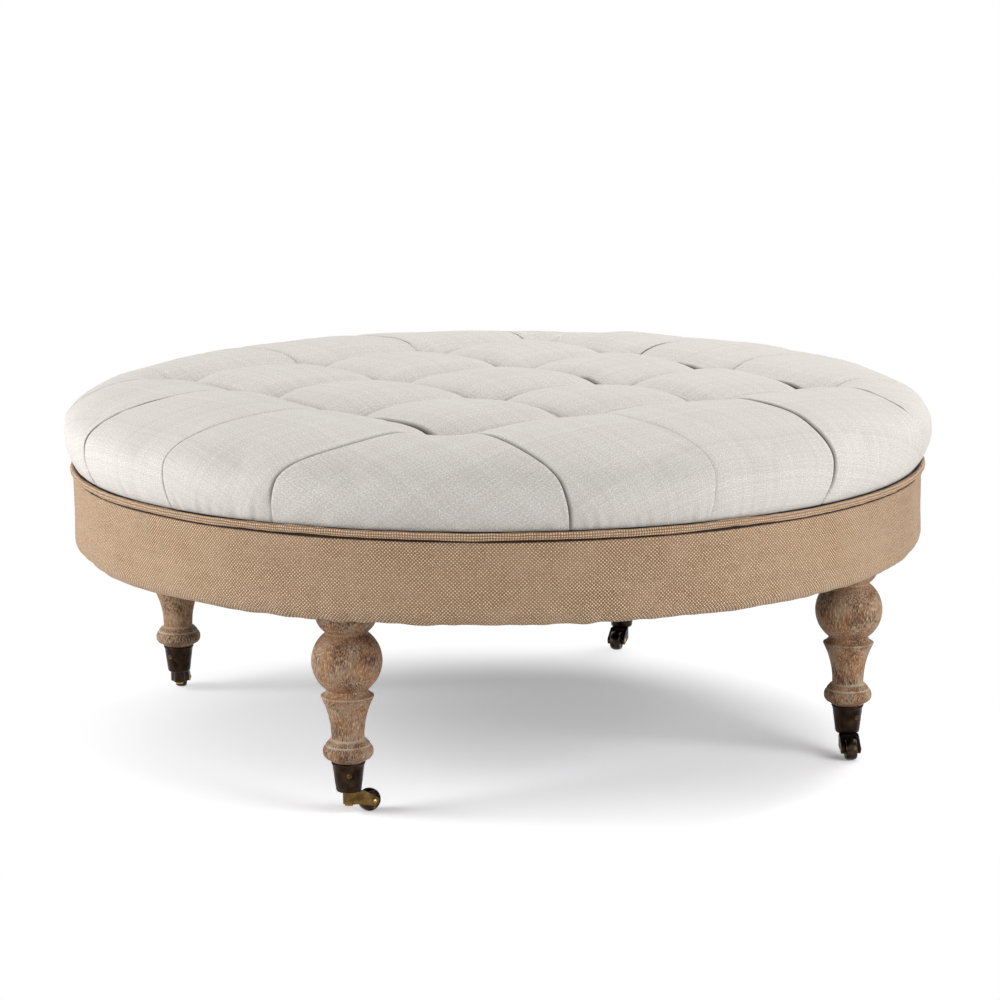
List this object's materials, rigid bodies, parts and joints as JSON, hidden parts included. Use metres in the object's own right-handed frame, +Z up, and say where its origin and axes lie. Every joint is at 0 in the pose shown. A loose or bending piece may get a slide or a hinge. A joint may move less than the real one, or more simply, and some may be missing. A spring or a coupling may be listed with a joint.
{
  "type": "round tufted ottoman coffee table",
  "caption": "Round ottoman coffee table: a tufted linen cushion on a burlap apron with piping, turned oak legs and brass cup casters that swivel and roll.",
  "frame": {"origin": "on the floor under the middle of the round top", "axes": "+Z up; the legs stand on the corners of a square along X and Y, front is -Y"},
  "size_m": [1.0952, 1.0952, 0.461],
  "materials": {
    "linen": "plain woven, matt",
    "foam": "open-cell foam",
    "twine": "waxed twine",
    "hessian": "open weave",
    "jute_webbing": "woven strap",
    "burlap": "coarse weave",
    "cambric": "thin, non-woven",
    "frame_wood": "bare, sawn",
    "limed_oak": "limed and waxed",
    "dark_bronze": "antiqued, satin",
    "aged_brass": "aged, satin",
    "wheel_bronze": "dark, worn",
    "pin_steel": "turned",
    "zinc_steel": "zinc"
  },
  "bodies": {
    "ottoman": {"tufted_cushion": "linen", "foam_pad": "foam", "tuft_twine": "twine", "platform_cloth": "hessian", "webbing_upper": "jute_webbing", "webbing_lower": "jute_webbing", "piping_welt": "burlap", "apron_cover": "burlap", "hoop_frame": "frame_wood", "cross_rail_lower": "frame_wood", "cross_rail_upper": "frame_wood", "dust_cover": "cambric", "hanger_bolts": "zinc_steel", "bolt_nuts": "zinc_steel", "front_left_leg_block": "frame_wood", "front_left_leg": "limed_oak", "front_left_cup": "dark_bronze", "front_left_swivel_pin": "pin_steel", "front_right_leg_block": "frame_wood", "front_right_leg": "limed_oak", "front_right_cup": "dark_bronze", "front_right_swivel_pin": "pin_steel", "back_left_leg_block": "frame_wood", "back_left_leg": "limed_oak", "back_left_cup": "dark_bronze", "back_left_swivel_pin": "pin_steel", "back_right_leg_block": "frame_wood", "back_right_leg": "limed_oak", "back_right_cup": "dark_bronze", "back_right_swivel_pin": "pin_steel"},
    "front_left_caster": {"front_left_horn": "aged_brass", "front_left_axle": "pin_steel"},
    "front_left_roller": {"front_left_wheel": "wheel_bronze"},
    "front_right_caster": {"front_right_horn": "aged_brass", "front_right_axle": "pin_steel"},
    "front_right_roller": {"front_right_wheel": "wheel_bronze"},
    "back_left_caster": {"back_left_horn": "aged_brass", "back_left_axle": "pin_steel"},
    "back_left_roller": {"back_left_wheel": "wheel_bronze"},
    "back_right_caster": {"back_right_horn": "aged_brass", "back_right_axle": "pin_steel"},
    "back_right_roller": {"back_right_wheel": "wheel_bronze"}
  },
  "joints": [
    {"name": "front_left_swivel", "type": "hinge", "parent": "ottoman", "child": "front_left_caster", "pos_m": [-0.32803, -0.32803, 0.0282], "axis": [0, 0, 1], "continuous": true},
    {"name": "front_left_wheel_spin", "type": "hinge", "parent": "front_left_caster", "child": "front_left_roller", "pos_m": [-0.30076, -0.32168, 0.0135], "axis": [-0.2267, 0.974, 0], "continuous": true},
    {"name": "front_right_swivel", "type": "hinge", "parent": "ottoman", "child": "front_right_caster", "pos_m": [0.32803, -0.32803, 0.0282], "axis": [0, 0, 1], "continuous": true},
    {"name": "front_right_wheel_spin", "type": "hinge", "parent": "front_right_caster", "child": "front_right_roller", "pos_m": [0.3184, -0.35432, 0.0135], "axis": [0.9391, -0.3437, 0], "continuous": true},
    {"name": "back_left_swivel", "type": "hinge", "parent": "ottoman", "child": "back_left_caster", "pos_m": [-0.32803, 0.32803, 0.0282], "axis": [0, 0, 1], "continuous": true},
    {"name": "back_left_wheel_spin", "type": "hinge", "parent": "back_left_caster", "child": "back_left_roller", "pos_m": [-0.31736, 0.35391, 0.0135], "axis": [-0.9245, 0.3811, 0], "continuous": true},
    {"name": "back_right_swivel", "type": "hinge", "parent": "ottoman", "child": "back_right_caster", "pos_m": [0.32803, 0.32803, 0.0282], "axis": [0, 0, 1], "continuous": true},
    {"name": "back_right_wheel_spin", "type": "hinge", "parent": "back_right_caster", "child": "back_right_roller", "pos_m": [0.3101, 0.30651, 0.0135], "axis": [0.7683, -0.6401, 0], "continuous": true}
  ]
}
